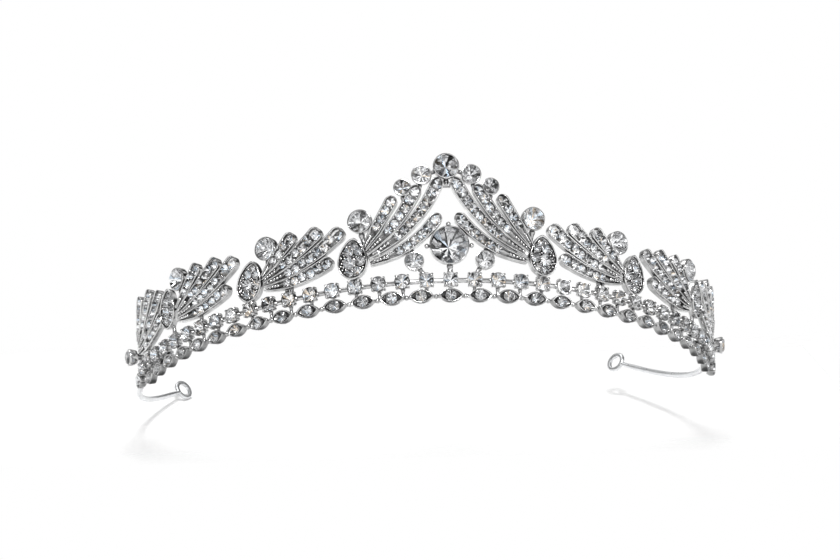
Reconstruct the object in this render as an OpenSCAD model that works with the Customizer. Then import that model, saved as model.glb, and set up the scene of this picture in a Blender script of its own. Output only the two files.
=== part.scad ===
// Bridal tiara: two crystal rails carry wing-shaped castings, pear clusters and round stones,
// and two wire arms with eyelets hold it on the head.
// Millimetres, +Z up, the front faces -Y, and the tiara stands on its lower rail.
// Left and right are as seen from the front, so left is -X.

/* [Band] */
// Radius of the front arc, seen from above
front_r = 58; // [56:1:60]
// Half of the front arc's angle, in degrees
front_angle = 19; // [18:1:20]
// Radius of the arcs at both sides
side_r = 77; // [75:1:79]
// Outward lean of the ornament, in degrees
lean = 6; // [4:1:7]

/* [Rails] */
// Distance between the upper rail's cups
cup_pitch = 5.28; // [5.2:0.02:5.4]
// Upper rail's stones, diameter
cup_stone_d = 3.0; // [2.8:0.1:3.0]
// Distance between the lower rail's marquise settings
marquise_pitch = 6.6; // [6.5:0.05:6.7]
// Length of a marquise setting
marquise_len = 5.5; // [5.3:0.1:5.6]
// Height of a marquise setting
marquise_h = 3.0; // [2.8:0.1:3.0]
// Lower rail's stones, diameter
marquise_stone_d = 2.2; // [2.0:0.1:2.2]
// Height of the upper rail's axis above the lower rail's
rail_gap = 3.15; // [3.1:0.05:3.3]
// How far the lower rail lies inside the upper one
lower_inset = 0.9; // [0.7:0.1:1.0]

/* [Wings] */
// Depth of the castings, front to back
casting_depth = 1.5; // [1.4:0.1:1.6]
// Stone diameter near a feather's tip
feather_stone_tip = 2.0; // [1.9:0.05:2.05]
// Stone diameter near a feather's root
feather_stone_root = 1.55; // [1.45:0.05:1.6]
// Width of a feather's rim beside its stones
feather_rim = 0.36; // [0.32:0.02:0.4]
// Gap between the stones of a feather
feather_gap = 0.18; // [0.15:0.01:0.25]

/* [Pears] */
// Width of a pear cluster
pear_w = 6.8; // [6.7:0.1:7.0]
// Height of a pear cluster
pear_h = 9.4; // [9.3:0.1:9.6]

/* [Round stones] */
// Centre stone, diameter
centre_d = 8.3; // [8.0:0.1:8.5]
// Top stone of the crest
top_d = 5.4; // [5.2:0.1:5.6]
// Stones beside the top one
crest_inner_d = 4.1; // [3.9:0.1:4.2]
// Outer stones of the crest
crest_outer_d = 3.5; // [3.3:0.1:3.6]
// Stones that stand above the wing roots
stalk_d = 5.0; // [4.8:0.1:5.1]
// Stones beside the centre stone
side_d = 3.9; // [3.7:0.1:4.0]
// Stones at the ends of the band
end_d = 3.6; // [3.4:0.1:3.7]

/* [Arms] */
// Wire diameter
wire_d = 1.4; // [1.2:0.1:1.5]
// Radius of the left arm's bend
left_arm_r = 86; // [84:1:88]
// Angle of the left arm's bend
left_arm_angle = 48; // [47:1:49]
// Radius of the right arm's bend
right_arm_r = 60; // [58:1:62]
// Angle of the right arm's bend
right_arm_angle = 63; // [62:1:64]
// Eyelet, outer diameter
eyelet_d = 5.4; // [5.2:0.1:5.8]
// Eyelet, hole diameter
eyelet_hole_d = 3.2; // [3.0:0.1:3.3]
// Eyelet, thickness
eyelet_t = 1.0; // [0.9:0.1:1.1]

/* [Hidden] */
$fn = 48;
LEFT = -1;
RIGHT = 1;
SIDES = [LEFT, RIGHT];
deg = 180 / PI;

// Stone proportions, as fractions of the diameter
pavilion = 0.42;
girdle = 0.04;
crown = 0.17;
table = 0.64;

// Settings
cup_wall = 0.12;
cup_depth = 0.5;
claw_r = 0.28;
claw_rise = 0.1;
bezel_wall = 0.22;
bezel_depth = 0.3;
deep_bezel = 0.5;
bezel_rise = 0.06;
contact = 0.05;

// Rails: the lower one's leaning settings just touch the ground
face = 0.2;
lower_z = marquise_h / 2 * cos(lean) + face * sin(lean);
upper_z = lower_z + rail_gap;
last_cup = 18;
last_marquise = 14;
marquise_depth = 1.5;
marquise_rim = 0.3;
marquise_recess = 0.55;
link_t = 0.8;
cup_r = cup_stone_d / 2 + cup_wall;
cup_back = cup_depth * cup_stone_d;
rail_end = [98.8, 1.25];

// Castings: their rims stand in front of the stones' girdles by the same face height
floor_t = 0.4;
casting_back = casting_depth - face;
ring_count = 16;
root_r = 1.5;

// Places along the band and heights above the lower rail's axis
top_place = [0, 28.5];
crest_inner = [5.25, 26.7];
crest_outer = [9.4, 24.1];
centre_place = [0, 10.7];
side_place = [7.7, 7.5];
stalk_places = [[19.0, 17.5], [41.6, 15.6], [69.8, 16.4]];
stalk_feet = [[18.3, 11.6], [42.7, 9.6], [70.6, 10.2]];
pear_places = [[21.1, 9.4], [46.6, 9.2], [75.2, 11.0]];
// Each pear's lean towards the middle, on the left and on the right
pear_tilts = [[6, 2], [16, -1], [14, 2]];
end_place = [97.6, 6.4];
end_out = 2.0;

// Wings: roots, then each feather's tip and root from there, its bow, and its extra breadth
wing_roots = [[17.6, 9.6], [43.2, 7.9], [71.2, 8.3], [95.4, 8.0]];
root_bosses = [[16.25, 9.6], [41.75, 7.9], [71.2, 8.3], [95.4, 8.0]];
front_feathers = [
    [[-6.3, 12.7], [0.7, 1.9], 0.1, 0.1],
    [[-11.4, 14.8], [0.2, 0.8], 1.2, 0.15],
    [[-16.1, 16.4], [-0.1, -0.2], 2.3, 0.15],
    [[-15.8, 8.2], [-0.3, -1.7], 1.9, 0.1]
];
second_feathers = [
    [[-8.8, 9.6], [0.0, 1.5], 0.1, 0.4],
    [[-15.1, 9.4], [-0.2, 0.6], 0.7, 0.5],
    [[-20.3, 8.5], [-0.4, -0.2], 1.6, 0.5],
    [[-17.5, 2.1], [-0.4, -1.1], 1.3, 0.3]
];
third_feathers = [
    [[-9.3, 9.3], [0.0, 1.5], 0.1, 0.4],
    [[-15.8, 8.6], [-0.2, 0.6], 0.7, 0.5],
    [[-21.1, 7.4], [-0.4, -0.2], 1.6, 0.5],
    [[-18.4, 1.4], [-0.4, -1.1], 1.3, 0.3]
];
end_feathers = [
    [[-5.5, 11.0], [0.0, 1.5], 0.1, 0.5],
    [[-12.0, 10.4], [-0.2, 0.6], 0.7, 0.5],
    [[-17.2, 8.4], [-0.4, -0.2], 1.6, 0.5],
    [[-16.9, 2.5], [-0.4, -1.1], 1.3, 0.3]
];
wing_feathers = [front_feathers, second_feathers, third_feathers, end_feathers];

// Pear stones: place in the pear, and diameter
pear_stones = [
    [-0.15, 3.1, 1.4], [-1.2, 1.75, 1.8], [0.95, 1.6, 2.0], [-1.75, -0.45, 2.0],
    [0.75, -0.85, 2.6], [-1.15, -2.6, 1.8], [0.6, -3.05, 1.6]
];

// Arms
arm_start_s = 80;
left_free_s = 92;
right_free_s = 88;
left_rise = 33;
right_rise = 31;
arm_z = upper_z - 0.9;
arm_inset = cup_back + wire_d / 2 + 0.1;
// The wire is this much fuller where it was bent up
bend_swell = 0.04;
left_eyelet_turn = -13;
right_eyelet_turn = 4;
eyelet_bite = 0.4;

// The band's plan: an arc at the front, and a wider arc on each side
front_len = front_r * front_angle / deg;
function turn(s) = abs(s) < front_len
    ? s / front_r * deg
    : sign(s) * (front_angle + (abs(s) - front_len) / side_r * deg);
function plan_x(s) =
    let (a = abs(turn(s)), b = min(a, front_angle))
    sign(s) * (front_r * sin(b) + side_r * (sin(a) - sin(b)));
function plan_y(s) =
    let (a = abs(turn(s)), b = min(a, front_angle))
    front_r * (1 - cos(b)) + side_r * (cos(b) - cos(a));

// How far the lean carries a point at height z outwards
function lean_out(z) = (z - upper_z) * tan(lean);

// Each arm's bend: where it leaves the band, radius, angle, rise, and its eyelet's turn
left_bend = [left_free_s, left_arm_r, left_arm_angle, left_rise, left_eyelet_turn];
right_bend = [right_free_s, right_arm_r, right_arm_angle, right_rise, right_eyelet_turn];

// The part's box is centred between the crest's face and the farther eyelet
function arm_end_y(bend) =
    let (a = turn(bend[0]))
    plan_y(bend[0]) + arm_inset * cos(a)
    + bend[1] * sin(bend[2]) * sin(a)
    + bend[1] * (1 - cos(bend[2])) * cos(bend[3]) * cos(a);
function eyelet_end_y(bend) =
    let (
        a = turn(bend[0]),
        b = bend[2] - bend[4],
        inwards = cos(bend[3]) * cos(a),
        along = cos(b) * sin(a) + sin(b) * inwards,
        across = cos(b) * inwards - sin(b) * sin(a)
    )
    arm_end_y(bend) + (eyelet_d / 2 - eyelet_bite) * along
    + eyelet_d / 2 * sqrt(1 - across * across) + eyelet_t / 2 * abs(across);
back_y = max(eyelet_end_y(left_bend), eyelet_end_y(right_bend));
fore_y = -lean_out(lower_z + top_place[1])
    - (girdle + crown) * top_d * cos(lean) - table * top_d / 2 * sin(lean);
mid_y = (back_y + fore_y) / 2;

function on_band(s, z, out = 0) =
    let (a = turn(s), d = out + lean_out(z))
    [plan_x(s) + d * sin(a), plan_y(s) - d * cos(a) - mid_y, z];

// Turns a drawing that faces +Z so that it faces outwards on the band, with +Y up
module on_face(place, out = 0) {
    translate(on_band(place[0], lower_z + place[1], out))
        rotate([0, 0, turn(place[0])])
            rotate([90 + lean, 0, 0])
                children();
}

// A round rod between two places on the band
module rod(p, q, r, out) {
    a = on_band(p[0], lower_z + p[1], out);
    b = on_band(q[0], lower_z + q[1], out);
    d = b - a;
    translate(a)
        rotate([0, acos(d[2] / norm(d)), atan2(d[1], d[0])])
            cylinder(r = r, h = norm(d));
}

// The side that a place lies on
function at_side(place, side) = [side * place[0], place[1]];

// A round stone with its girdle on the XY plane and its table towards +Z
module stone(d) {
    rotate_extrude()
        polygon([
            [0, -pavilion * d], [d / 2, 0], [d / 2, girdle * d],
            [table * d / 2, (girdle + crown) * d], [0, (girdle + crown) * d]
        ]);
}

// The room that a stone needs, open towards +Z
module seat(d) {
    rotate_extrude()
        polygon([[0, -pavilion * d], [d / 2, 0], [d / 2, d], [0, d]]);
}

// A claw cup: a short tube with four claws at its corners
module cup(d) {
    difference() {
        translate([0, 0, -cup_depth * d])
            cylinder(r = d / 2 + cup_wall, h = (cup_depth + girdle) * d);
        seat(d);
    }
    for (a = [45:90:315])
        rotate(a)
            translate([d / 2 + claw_r, 0, -cup_depth * d])
                cylinder(r = claw_r, h = (cup_depth + claw_rise) * d);
}

// A bezel: a turned ring that wraps the stone's girdle
module bezel(d, depth = bezel_depth) {
    difference() {
        translate([0, 0, -depth * d])
            cylinder(r = d / 2 + bezel_wall, h = (depth + bezel_rise) * d);
        seat(d);
    }
}

// A marquise outline as the space between two arcs
module marquise(length, height, from_z, to_z) {
    r = (pow(length / 2, 2) + pow(height / 2, 2)) / height;
    intersection_for (side = SIDES)
        translate([0, side * (r - height / 2), from_z])
            cylinder(r = r, h = to_z - from_z, $fn = 96);
}

module marquise_setting() {
    difference() {
        marquise(marquise_len, marquise_h, -marquise_depth, face);
        marquise(
            marquise_len - 3.4 * marquise_rim, marquise_h - 2 * marquise_rim,
            -marquise_recess, 2 * face
        );
        seat(marquise_stone_d);
    }
}

// Upper rail
module upper_rail_cups() {
    color("silver")
        for (k = [-last_cup:last_cup])
            on_face([k * cup_pitch, rail_gap])
                cup(cup_stone_d);
}

module upper_rail_stones() {
    color("aliceblue")
        for (k = [-last_cup:last_cup])
            on_face([k * cup_pitch, rail_gap])
                stone(cup_stone_d);
}

module upper_rail_links() {
    gap = cup_pitch - 2 * cup_r;
    color("gray")
        for (k = [-last_cup:last_cup - 1])
            on_face([(k + 0.5) * cup_pitch, rail_gap])
                translate([0, 0, -cup_back + link_t / 2])
                    cube([gap, link_t, link_t], center = true);
}

// Lower rail
module lower_rail_settings() {
    color("silver")
        for (m = [-last_marquise:last_marquise])
            on_face([m * marquise_pitch, 0], -lower_inset)
                marquise_setting();
}

module lower_rail_stones() {
    color("aliceblue")
        for (m = [-last_marquise:last_marquise])
            on_face([m * marquise_pitch, 0], -lower_inset)
                stone(marquise_stone_d);
}

module lower_rail_links() {
    gap = marquise_pitch - marquise_len;
    bead_r = gap / 2;
    color("gray")
        for (m = [-last_marquise:last_marquise - 1])
            on_face([(m + 0.5) * marquise_pitch, 0], -lower_inset - marquise_depth / 2)
                union() {
                    rotate([0, 90, 0])
                        cylinder(d = link_t, h = gap + 2 * contact, center = true);
                    sphere(r = bead_r);
                }
}

// Height of the lower rail's top edge at s, above its axis
function lower_edge(s) =
    let (
        r = (pow(marquise_len / 2, 2) + pow(marquise_h / 2, 2)) / marquise_h,
        u = abs(s - marquise_pitch * round(s / marquise_pitch))
    )
    u < marquise_len / 2 ? sqrt(r * r - u * u) - r + marquise_h / 2 : link_t / 2;

module rail_posts() {
    post_r = 0.35;
    least = 0.2;
    color("gray")
        for (k = [-last_cup:last_cup]) {
            s = k * cup_pitch;
            low = lower_edge(s);
            high = rail_gap - cup_r;
            if (high - low > least)
                rod([s, low - contact], [s, high + contact], post_r, -lower_inset - 0.2);
        }
}

module rail_end_cups() {
    color("silver")
        for (side = SIDES)
            on_face(at_side(rail_end, side))
                cup(cup_stone_d);
}

module rail_end_stones() {
    color("aliceblue")
        for (side = SIDES)
            on_face(at_side(rail_end, side))
                stone(cup_stone_d);
}

// Feathers: u runs from the root, 0, to the tip, 1
function feather_list(w) = wing_feathers[w - 1];
function feather_len(f) = norm(f[0] - f[1]);
function feather_point(root, f, u) =
    let (
        d = (f[0] - f[1]) / feather_len(f),
        bow = 4 * f[2] * u * (1 - u)
    )
    root + f[1] + u * (f[0] - f[1]) + bow * [d[1] > 0 ? -d[1] : d[1], -abs(d[0])];
function stone_at(u) = feather_stone_root + (feather_stone_tip - feather_stone_root) * u;
function tip_round(u, f) =
    let (left = (1 - u) * feather_len(f), r = 1.6)
    left < r ? sqrt(max(0, 1 - pow(1 - left / r, 2))) : 1;
function half_width(u, f) =
    let (full = stone_at(u) / 2 + feather_rim + f[3] * pow(max(0, u), 1.5))
    max(0.12, full * (0.55 + 0.45 * min(1, 3 * u)) * tip_round(u, f));
function channel_half(u, f) =
    max(0.04, half_width(u, f) - feather_rim);

// Stones stand in one row, and take turns left and right where the channel is broad
first_stone = 1.55;
least_u = 0.26;
function sway(u, f) = max(0, channel_half(u, f) - stone_at(u) / 2);
function stone_step(u, f) =
    let (next = u - 1.8 / feather_len(f))
    sqrt(pow(stone_at(u) + feather_gap, 2) - pow(2 * sway(next, f), 2)) / feather_len(f);
function stone_row(f, u, i = 0) =
    u < least_u ? [] : concat(
        [[u, (i % 2 == 0 ? 1 : -1) * sway(u, f)]],
        stone_row(f, u - stone_step(u, f), i + 1)
    );

// Rings crowd together at the tip, where the outline turns
function ring_u(i) = let (v = i / (ring_count - 1)) 1 - pow(1 - v, 1.7);

// The direction across a feather
function crosswise(root, f, u) =
    let (
        e = 0.01,
        d = feather_point(root, f, u + e) - feather_point(root, f, u - e)
    )
    [-d[1], d[0]] / norm(d);

// One ring of the channel's section, as points on the band
function feather_ring(side, root, f, u) =
    let (
        c = feather_point(root, f, u),
        n = crosswise(root, f, u),
        w = half_width(u, f),
        v = channel_half(u, f),
        low = -casting_back + floor_t
    )
    [for (p = [
        [-w, -casting_back], [-w, face], [-v, face], [-v, low],
        [v, low], [v, face], [w, face], [w, -casting_back]
    ])
        let (q = c + p[0] * n)
        on_band(side * q[0], lower_z + q[1], p[1])];

module feather(side, root, f) {
    count = 8;
    points = [for (i = [0:ring_count - 1]) each feather_ring(side, root, f, ring_u(i))];
    sides = [
        for (i = [0:ring_count - 2], j = [0:count - 1])
            let (
                a = i * count + j,
                b = i * count + (j + 1) % count,
                c = b + count,
                d = a + count
            )
            each [[a, b, c], [a, c, d]]
    ];
    cap = [[0, 3, 1], [1, 3, 2], [0, 4, 3], [0, 7, 4], [7, 5, 4], [7, 6, 5]];
    last = (ring_count - 1) * count;
    ends = [for (t = cap) each [t, [for (k = [2:-1:0]) t[k] + last]]];
    faces = concat(sides, ends);
    flipped = [for (t = faces) [t[2], t[1], t[0]]];
    polyhedron(points, side > 0 ? faces : flipped, convexity = 6);
}

module wing(w, side) {
    root = wing_roots[w - 1];
    color("silver")
        union() {
            for (f = feather_list(w))
                feather(side, root, f);
            on_face(at_side(root_bosses[w - 1], side))
                translate([0, 0, -casting_back])
                    cylinder(r = root_r, h = casting_back);
        }
}

module wing_stones(w, side) {
    root = wing_roots[w - 1];
    color("aliceblue")
        for (f = feather_list(w), p = stone_row(f, 1 - first_stone / feather_len(f))) {
            u = p[0];
            place = feather_point(root, f, u) + p[1] * crosswise(root, f, u);
            on_face(at_side(place, side))
                stone(2 * min(channel_half(u, f), stone_at(u) / 2));
        }
}

// Pear clusters: a drop with its long taper upwards
function pear_outline(w, h) = [
    for (a = [0:10:350])
        [
            sign(sin(a)) * w / 2 * pow(abs(sin(a)), 1.2) * (1 - 0.22 * cos(a)) / 1.03,
            h / 2 * cos(a)
        ]
];

module pear_place(i, side) {
    on_face(at_side(pear_places[i - 1], side), -0.1)
        rotate(side * pear_tilts[i - 1][side < 0 ? 0 : 1])
            mirror([side < 0 ? 1 : 0, 0, 0])
                children();
}

module pear(i, side) {
    rim = 0.35;
    recess = 0.3;
    color("silver")
        pear_place(i, side)
            difference() {
                translate([0, 0, -casting_back])
                    linear_extrude(casting_back + 2 * face)
                        polygon(pear_outline(pear_w, pear_h));
                translate([0, 0, -recess])
                    linear_extrude(2)
                        polygon(pear_outline(pear_w - 2 * rim, pear_h - 3 * rim));
                for (p = pear_stones)
                    translate([p[0], p[1], 0])
                        seat(p[2]);
            }
}

module pear_stone_set(i, side) {
    color("aliceblue")
        pear_place(i, side)
            for (p = pear_stones)
                translate([p[0], p[1], 0])
                    stone(p[2]);
}

// Stones above the wing roots
module stalk_bezels() {
    color("silver")
        for (p = stalk_places, side = SIDES)
            on_face(at_side(p, side))
                bezel(stalk_d);
}

module stalk_stones() {
    color("aliceblue")
        for (p = stalk_places, side = SIDES)
            on_face(at_side(p, side))
                stone(stalk_d);
}

module stalk_posts() {
    post_r = 0.5;
    color("gray")
        for (i = [0:2], side = SIDES) {
            p = stalk_places[i];
            head = [p[0], p[1] - stalk_d / 2 - bezel_wall + contact];
            rod(at_side(stalk_feet[i], side), at_side(head, side), post_r, -1.0);
        }
}

// Crest
module crest_top_bezel() {
    color("silver")
        on_face(top_place)
            bezel(top_d);
}

module crest_top_stone() {
    color("aliceblue")
        on_face(top_place)
            stone(top_d);
}

// The bar that joins the two inner feathers' tips, and the top stone's post
module crest_bridge() {
    bar_r = 0.6;
    bar_half = 1.9;
    bar_h = 24.9;
    color("gray")
        union() {
            rod([-bar_half, bar_h], [bar_half, bar_h], bar_r, -casting_back - bar_r + contact);
            rod(
                [0, bar_h], [0, top_place[1] - top_d / 2], bar_r,
                -casting_back - bar_r + contact
            );
        }
}

module crest_side_bezels() {
    color("silver")
        for (side = SIDES) {
            on_face(at_side(crest_inner, side))
                bezel(crest_inner_d);
            on_face(at_side(crest_outer, side))
                bezel(crest_outer_d);
        }
}

module crest_side_stones() {
    color("aliceblue")
        for (side = SIDES) {
            on_face(at_side(crest_inner, side))
                stone(crest_inner_d);
            on_face(at_side(crest_outer, side))
                stone(crest_outer_d);
        }
}

module crest_side_posts() {
    post_r = 0.45;
    depth = -1.0;
    color("gray")
        for (side = SIDES) {
            rod(at_side([2.65, 27.6], side), at_side([3.2, 27.4], side), post_r, depth);
            rod(at_side([5.7, 24.6], side), at_side([5.95, 23.6], side), post_r, depth);
            rod(at_side([9.45, 22.3], side), at_side([9.3, 20.4], side), post_r, depth);
        }
}

// Centre stone and the stones beside it
module centre_bezel() {
    color("silver")
        on_face(centre_place)
            bezel(centre_d, deep_bezel);
}

module centre_stone() {
    color("aliceblue")
        on_face(centre_place)
            stone(centre_d);
}

module centre_post() {
    post_r = 0.6;
    top = centre_place[1] - centre_d / 2 - bezel_wall + contact;
    color("gray")
        rod([0, rail_gap + cup_r - contact], [0, top], post_r, -1.0);
}

module centre_beads() {
    bead_r = 0.55;
    reach = centre_d / 2 + bezel_wall + bead_r - contact;
    color("silver")
        on_face(centre_place)
            for (a = [0, 90, 180])
                rotate(a)
                    translate([reach, 0, -bead_r])
                        sphere(r = bead_r);
}

module side_bezels() {
    color("silver")
        for (side = SIDES)
            on_face(at_side(side_place, side))
                bezel(side_d);
}

module side_stones() {
    color("aliceblue")
        for (side = SIDES)
            on_face(at_side(side_place, side))
                stone(side_d);
}

module side_posts() {
    post_r = 0.45;
    depth = -1.0;
    color("gray")
        for (side = SIDES) {
            rod(at_side([5.6, 4.6], side), at_side([6.6, 5.9], side), post_r, depth);
            rod(at_side([8.0, 9.55], side), at_side([8.2, 10.8], side), post_r, depth);
        }
}

// Posts from the lowest feathers and the outer pears down to the upper rail's cups
module wing_struts() {
    post_r = 0.45;
    bite = 0.3;
    spread = 0.6;
    color("gray")
        for (w = [2:4], side = SIDES) {
            root = wing_roots[w - 1];
            f = feather_list(w)[3];
            s = cup_pitch * round((root[0] - 6.5) / cup_pitch);
            u = (root[0] + f[1][0] - s) / (f[1][0] - f[0][0]);
            top = feather_point(root, f, u)[1] - half_width(u, f) + bite;
            for (shift = w == 2 ? [-spread, spread] : [0])
                rod(
                    [side * (s + shift), rail_gap + cup_r - contact],
                    [side * (s + shift), top], post_r, -1.0
                );
        }
    color("gray")
        for (side = SIDES)
            rod([side * 74.6, rail_gap + cup_r - 2 * contact], [side * 74.9, 7.4], post_r, -1.0);
}

// Stones at the band's ends
module end_bezels() {
    color("silver")
        for (side = SIDES)
            on_face(at_side(end_place, side), end_out)
                bezel(end_d, deep_bezel);
}

module end_stones() {
    color("aliceblue")
        for (side = SIDES)
            on_face(at_side(end_place, side), end_out)
                stone(end_d);
}

// Arms: the wire follows the band behind the last cups, then bends inwards and upwards
module arm(side, bend) {
    start_a = turn(arm_start_s);
    free_a = turn(bend[0]);
    arc_r = side_r - arm_inset;
    arc_x = (front_r - side_r) * sin(front_angle);
    arc_y = front_r + (side_r - front_r) * cos(front_angle) - mid_y;
    color("white")
        mirror([side < 0 ? 1 : 0, 0, 0])
            difference() {
                union() {
                    translate([arc_x, arc_y, arm_z])
                        rotate(start_a - 90)
                            rotate_extrude(angle = free_a - start_a)
                                translate([arc_r, 0])
                                    circle(d = wire_d);
                    arm_frame(arc_x, arc_y, arc_r, free_a, bend[3])
                        sphere(d = wire_d + bend_swell);
                    arm_frame(arc_x, arc_y, arc_r, free_a, bend[3])
                        translate([0, bend[1], 0])
                            rotate(-90)
                                rotate_extrude(angle = bend[2])
                                    translate([bend[1], 0])
                                        circle(d = wire_d);
                    arm_frame(arc_x, arc_y, arc_r, free_a, bend[3])
                        eyelet_frame(bend)
                            cylinder(d = eyelet_d, h = eyelet_t, center = true);
                }
                arm_frame(arc_x, arc_y, arc_r, free_a, bend[3])
                    eyelet_frame(bend)
                        cylinder(d = eyelet_hole_d, h = 4 * eyelet_t, center = true);
            }
}

// X runs along the wire where it leaves the band, and Y points to the bend's centre
module arm_frame(arc_x, arc_y, arc_r, free_a, rise) {
    translate([arc_x + arc_r * sin(free_a), arc_y - arc_r * cos(free_a), arm_z])
        rotate(free_a)
            rotate([rise, 0, 0])
                children();
}

// Z runs through the eyelet's hole
module eyelet_frame(bend) {
    reach = eyelet_d / 2 - eyelet_bite;
    translate([0, bend[1], 0])
        rotate(bend[2])
            translate([0, -bend[1], 0])
                rotate(-bend[4])
                    translate([reach, 0, 0])
                        rotate([-90, 0, 0])
                            children();
}

// Nodes
ARMS = ["left_arm", "right_arm"];
SIDE_NAMES = ["left", "right"];
WINGS = [1:4];
PEARS = [1:3];
function wing_name(w, n) = str("wing_", w, "_", SIDE_NAMES[n]);
function pear_name(i, n) = str("pear_", i, "_", SIDE_NAMES[n]);

arm(LEFT, left_bend);  // left_arm
arm(RIGHT, right_bend);  // right_arm
upper_rail_cups();
upper_rail_links();
upper_rail_stones();
lower_rail_settings();
lower_rail_links();
lower_rail_stones();
rail_posts();
rail_end_cups();
rail_end_stones();
for (w = WINGS, n = [0, 1]) {
    wing(w, SIDES[n]);
    wing_stones(w, SIDES[n]);
}
for (i = PEARS, n = [0, 1]) {
    pear(i, SIDES[n]);
    pear_stone_set(i, SIDES[n]);
}
stalk_bezels();
stalk_stones();
stalk_posts();
crest_top_bezel();
crest_top_stone();
crest_bridge();
crest_side_bezels();
crest_side_stones();
crest_side_posts();
centre_bezel();
centre_stone();
centre_post();
centre_beads();
side_bezels();
side_stones();
side_posts();
wing_struts();
end_bezels();
end_stones();
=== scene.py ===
"""The looks of a bridal tiara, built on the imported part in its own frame.

Sizes in the shape code are millimetres; `finish_piece` turns them into metres.
"""

import math
import random
from collections import namedtuple

import bmesh
import bpy
import numpy as np
from mathutils import Matrix, Vector


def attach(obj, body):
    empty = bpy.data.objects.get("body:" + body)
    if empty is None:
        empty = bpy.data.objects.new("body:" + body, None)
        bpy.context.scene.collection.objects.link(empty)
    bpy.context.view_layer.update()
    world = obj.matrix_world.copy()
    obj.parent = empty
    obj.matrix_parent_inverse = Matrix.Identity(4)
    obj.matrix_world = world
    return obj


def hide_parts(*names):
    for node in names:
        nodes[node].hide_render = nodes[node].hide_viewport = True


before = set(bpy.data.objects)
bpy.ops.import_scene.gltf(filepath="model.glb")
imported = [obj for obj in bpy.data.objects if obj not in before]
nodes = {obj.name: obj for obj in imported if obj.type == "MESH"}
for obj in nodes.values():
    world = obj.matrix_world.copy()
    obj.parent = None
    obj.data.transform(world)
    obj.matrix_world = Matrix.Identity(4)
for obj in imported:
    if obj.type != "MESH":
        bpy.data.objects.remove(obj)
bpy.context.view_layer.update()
rng = random.Random(20)

MM = 0.001
SIDES = (-1, 1)
SIDE_NAMES = {-1: "left", 1: "right"}

# ---------------------------------------------------------------- the part's sizes
# These repeat the part's own numbers.
FRONT_R, FRONT_ANGLE, SIDE_R, LEAN = 58.0, 19.0, 77.0, 6.0
RAIL_GAP, LOWER_INSET = 3.15, 0.9
CUP_D, CUP_WALL, CUP_DEPTH, GIRDLE = 3.0, 0.12, 0.5, 0.04
MARQUISE_LEN, MARQUISE_H, MARQUISE_DEPTH, MARQUISE_PITCH = 5.5, 3.0, 1.5, 6.6
CUP_PITCH, LAST_CUP, LAST_MARQUISE, LINK_T = 5.28, 18, 14, 0.8
FACE, CASTING_BACK, FLOOR_T = 0.2, 1.3, 0.4
FEATHER_RIM, STONE_TIP, STONE_ROOT, FEATHER_GAP = 0.36, 2.0, 1.55, 0.18
# A feather's first stone is this far from its tip, and none stands nearer the root than LEAST_U
FIRST_STONE, LEAST_U, LOOK_AHEAD, TIP_R = 1.55, 0.26, 1.8, 1.6
ROOT_R = 1.5
WING_ROOTS = [(17.6, 9.6), (43.2, 7.9), (71.2, 8.3), (95.4, 8.0)]
ROOT_BOSSES = [(16.25, 9.6), (41.75, 7.9), (71.2, 8.3), (95.4, 8.0)]
# Each feather: its tip and its root, from the wing's root, its bow, and its extra breadth
WING_FEATHERS = [
    [
        ((-6.3, 12.7), (0.7, 1.9), 0.1, 0.1),
        ((-11.4, 14.8), (0.2, 0.8), 1.2, 0.15),
        ((-16.1, 16.4), (-0.1, -0.2), 2.3, 0.15),
        ((-15.8, 8.2), (-0.3, -1.7), 1.9, 0.1),
    ],
    [
        ((-8.8, 9.6), (0.0, 1.5), 0.1, 0.4),
        ((-15.1, 9.4), (-0.2, 0.6), 0.7, 0.5),
        ((-20.3, 8.5), (-0.4, -0.2), 1.6, 0.5),
        ((-17.5, 2.1), (-0.4, -1.1), 1.3, 0.3),
    ],
    [
        ((-9.3, 9.3), (0.0, 1.5), 0.1, 0.4),
        ((-15.8, 8.6), (-0.2, 0.6), 0.7, 0.5),
        ((-21.1, 7.4), (-0.4, -0.2), 1.6, 0.5),
        ((-18.4, 1.4), (-0.4, -1.1), 1.3, 0.3),
    ],
    [
        ((-5.5, 11.0), (0.0, 1.5), 0.1, 0.5),
        ((-12.0, 10.4), (-0.2, 0.6), 0.7, 0.5),
        ((-17.2, 8.4), (-0.4, -0.2), 1.6, 0.5),
        ((-16.9, 2.5), (-0.4, -1.1), 1.3, 0.3),
    ],
]
PEAR_W, PEAR_H = 6.8, 9.4
PEAR_PLACES = [(21.1, 9.4), (46.6, 9.2), (75.2, 11.0)]
PEAR_TILTS = {-1: (6, 16, 14), 1: (2, -1, 2)}
PEAR_STONES = [
    (-0.15, 3.1, 1.4), (-1.2, 1.75, 1.8), (0.95, 1.6, 2.0), (-1.75, -0.45, 2.0),
    (0.75, -0.85, 2.6), (-1.15, -2.6, 1.8), (0.6, -3.05, 1.6),
]
STALK_PLACES = [(19.0, 17.5), (41.6, 15.6), (69.8, 16.4)]
STALK_FEET = [(18.3, 11.6), (42.7, 9.6), (70.6, 10.2)]
TOP_H, TOP_D, CENTRE_H, CENTRE_D, STALK_D = 28.5, 5.4, 10.7, 8.3, 5.0
BEZEL_WALL, BEZEL_DEPTH, DEEP_BEZEL = 0.22, 0.3, 0.5
WIRE_R, ARM_START, ARM_INSET, ARM_DROP = 0.7, 80.0, 2.3, 0.9
# Each arm's bend: where it leaves the band, radius, angle, rise, and its eyelet's turn
ARM_BENDS = {-1: (92.0, 86.0, 48.0, 33.0, -13.0), 1: (88.0, 60.0, 63.0, 31.0, 4.0)}
EYELET_R, EYELET_HOLE_R, EYELET_T, EYELET_BITE = 2.7, 1.6, 1.0, 0.4

# ---------------------------------------------------------------- reading the part

Site = namedtuple("Site", "centre right up out d")
NEAR_RIM = 0.495  # points this many diameters out, or more, belong to the girdle


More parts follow.
